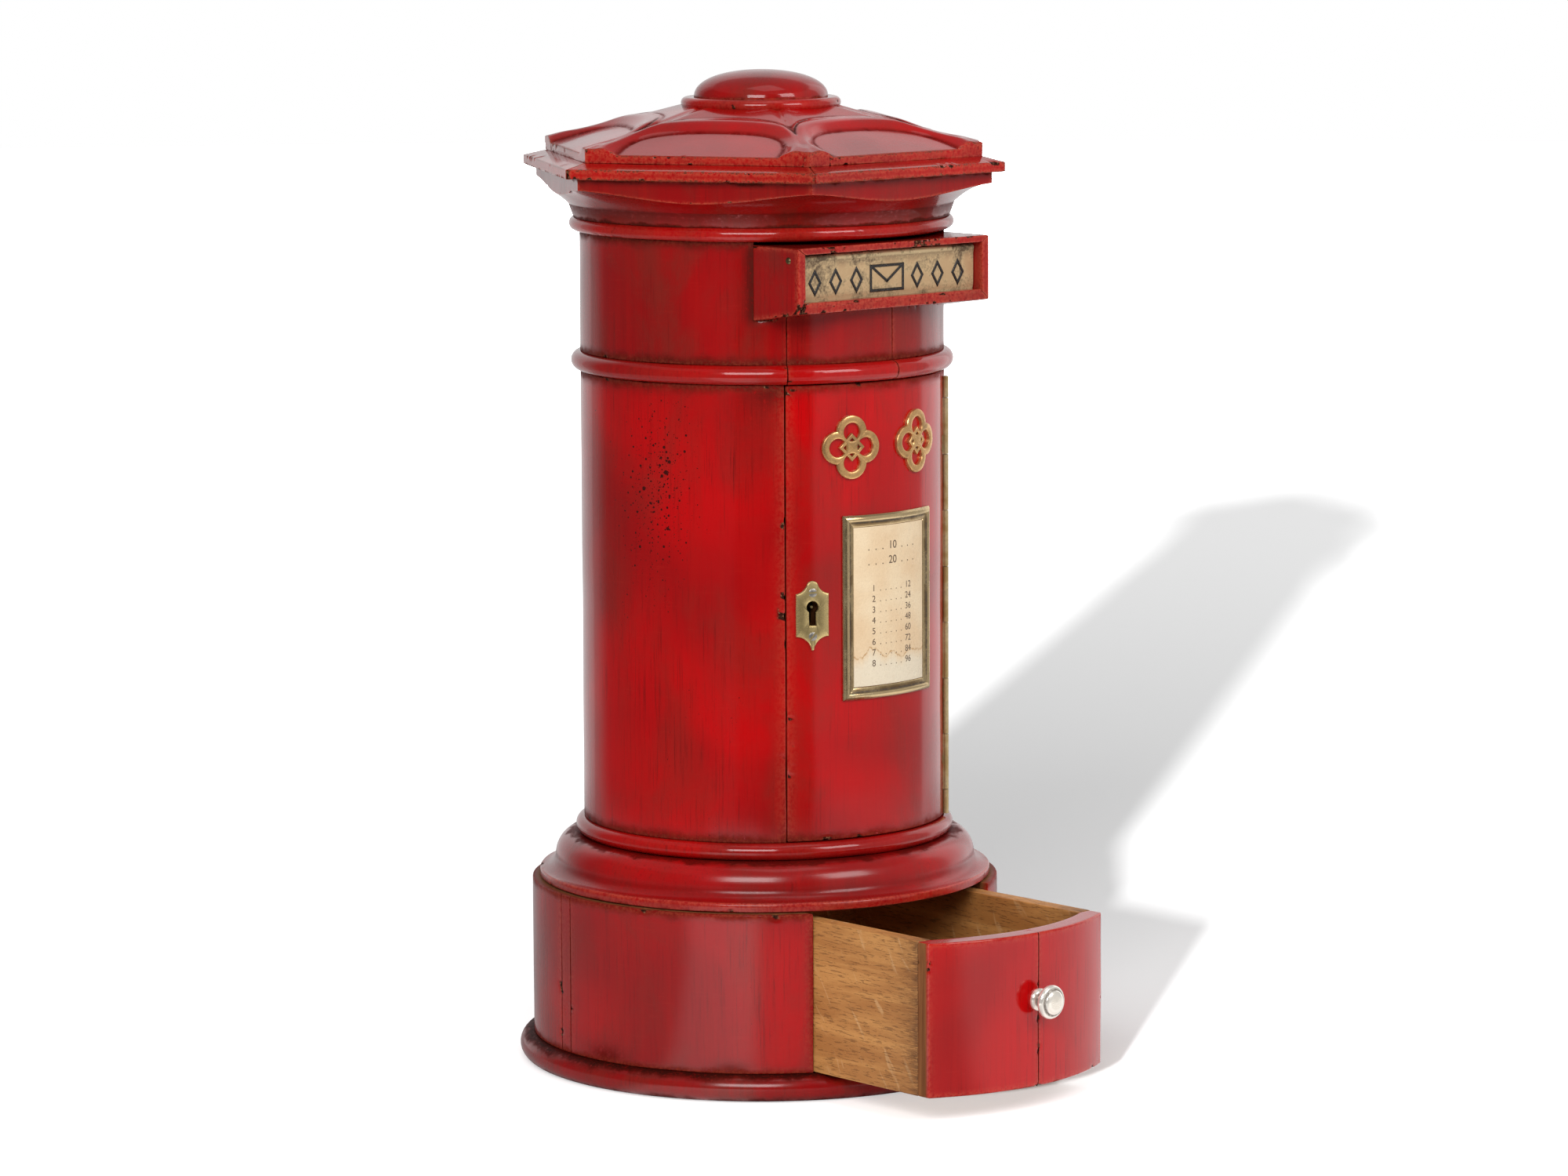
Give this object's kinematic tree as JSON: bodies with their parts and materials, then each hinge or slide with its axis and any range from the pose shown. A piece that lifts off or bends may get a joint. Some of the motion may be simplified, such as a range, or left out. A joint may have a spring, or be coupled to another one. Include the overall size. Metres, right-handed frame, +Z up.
{
  "type": "desk letter box",
  "caption": "Pillar-shaped desk letter box with a hinged curved door, a posting slot with a swinging flap, a drawer in its round base and a six-sided cap.",
  "frame": {"origin": "centre of the underside of the round plinth, on the surface the box stands on", "axes": "+Z up, -Y towards the front with slot, door and drawer, +X to the viewer's right when facing the front"},
  "size_m": [0.234, 0.3097, 0.46],
  "materials": {
    "red_lacquer": "glossy red lacquer on wood, brushed, crazed and worn",
    "bare_oak": "aged oak, unfinished, with ray flecks",
    "bare_pine": "aged softwood, unfinished",
    "aged_brass": "polished brass with dark mottling",
    "worn_steel": "dull steel with worn edges",
    "plated_knob": "silver plating, slightly dulled",
    "black_inlay": "black enamel, slightly worn",
    "card": "yellowed paper card with a water stain"
  },
  "bodies": {
    "case": {"plinth": "red_lacquer", "plinth_screws": "worn_steel", "base_drum": "red_lacquer", "drawer_guides": "bare_pine", "drawer_stop": "bare_pine", "base_moulding": "red_lacquer", "bead_lower": "red_lacquer", "compartment_floor": "bare_pine", "main_drum": "red_lacquer", "bead_middle": "red_lacquer", "upper_drum": "red_lacquer", "bead_upper": "red_lacquer", "cornice": "red_lacquer", "cap_core": "bare_pine", "cap_strips": "red_lacquer", "roof": "red_lacquer", "roof_arches": "red_lacquer", "finial_disc": "red_lacquer", "finial_dome": "red_lacquer", "finial_dowel": "bare_pine", "slot_top": "red_lacquer", "slot_bottom": "red_lacquer", "slot_left_cheek": "red_lacquer", "slot_right_cheek": "red_lacquer", "flap_pins": "aged_brass", "jamb_leaf": "aged_brass", "jamb_leaf_screws": "aged_brass", "hinge_pin": "aged_brass", "strike_plate": "aged_brass", "strike_screws": "worn_steel"},
    "door": {"door_panel": "red_lacquer", "door_leaf": "aged_brass", "door_leaf_screws": "aged_brass", "escutcheon": "aged_brass", "escutcheon_screws": "worn_steel", "lock_plate": "aged_brass", "lock_plate_screws": "worn_steel", "lock_case": "aged_brass", "notice_frame": "aged_brass", "notice_card": "card", "ornaments": "aged_brass"},
    "bolt": {"lock_bolt": "worn_steel"},
    "slot_flap": {"flap": "aged_brass", "flap_figures": "black_inlay"},
    "drawer": {"drawer_front": "red_lacquer", "drawer_left_side": "bare_oak", "drawer_right_side": "bare_oak", "drawer_back": "bare_oak", "drawer_bottom": "bare_pine", "drawer_knob": "plated_knob", "knob_screw": "worn_steel"}
  },
  "joints": [
    {"name": "door_hinge", "type": "hinge", "parent": "case", "child": "door", "pos_m": [0.05533, -0.06478, 0.2], "axis": [0, 0, 1], "range_deg": [0, 115]},
    {"name": "bolt_slide", "type": "slide", "parent": "door", "child": "bolt", "axis": [-0.8942, 0.4478, 0], "range_m": [0, 0.005]},
    {"name": "flap_hinge", "type": "hinge", "parent": "case", "child": "slot_flap", "pos_m": [0, -0.0835, 0.3798], "axis": [1, 0, 0], "range_deg": [0, 75]},
    {"name": "drawer_slide", "type": "slide", "parent": "case", "child": "drawer", "axis": [0, -1, 0], "range_m": [-0.0744, 0.045]}
  ]
}
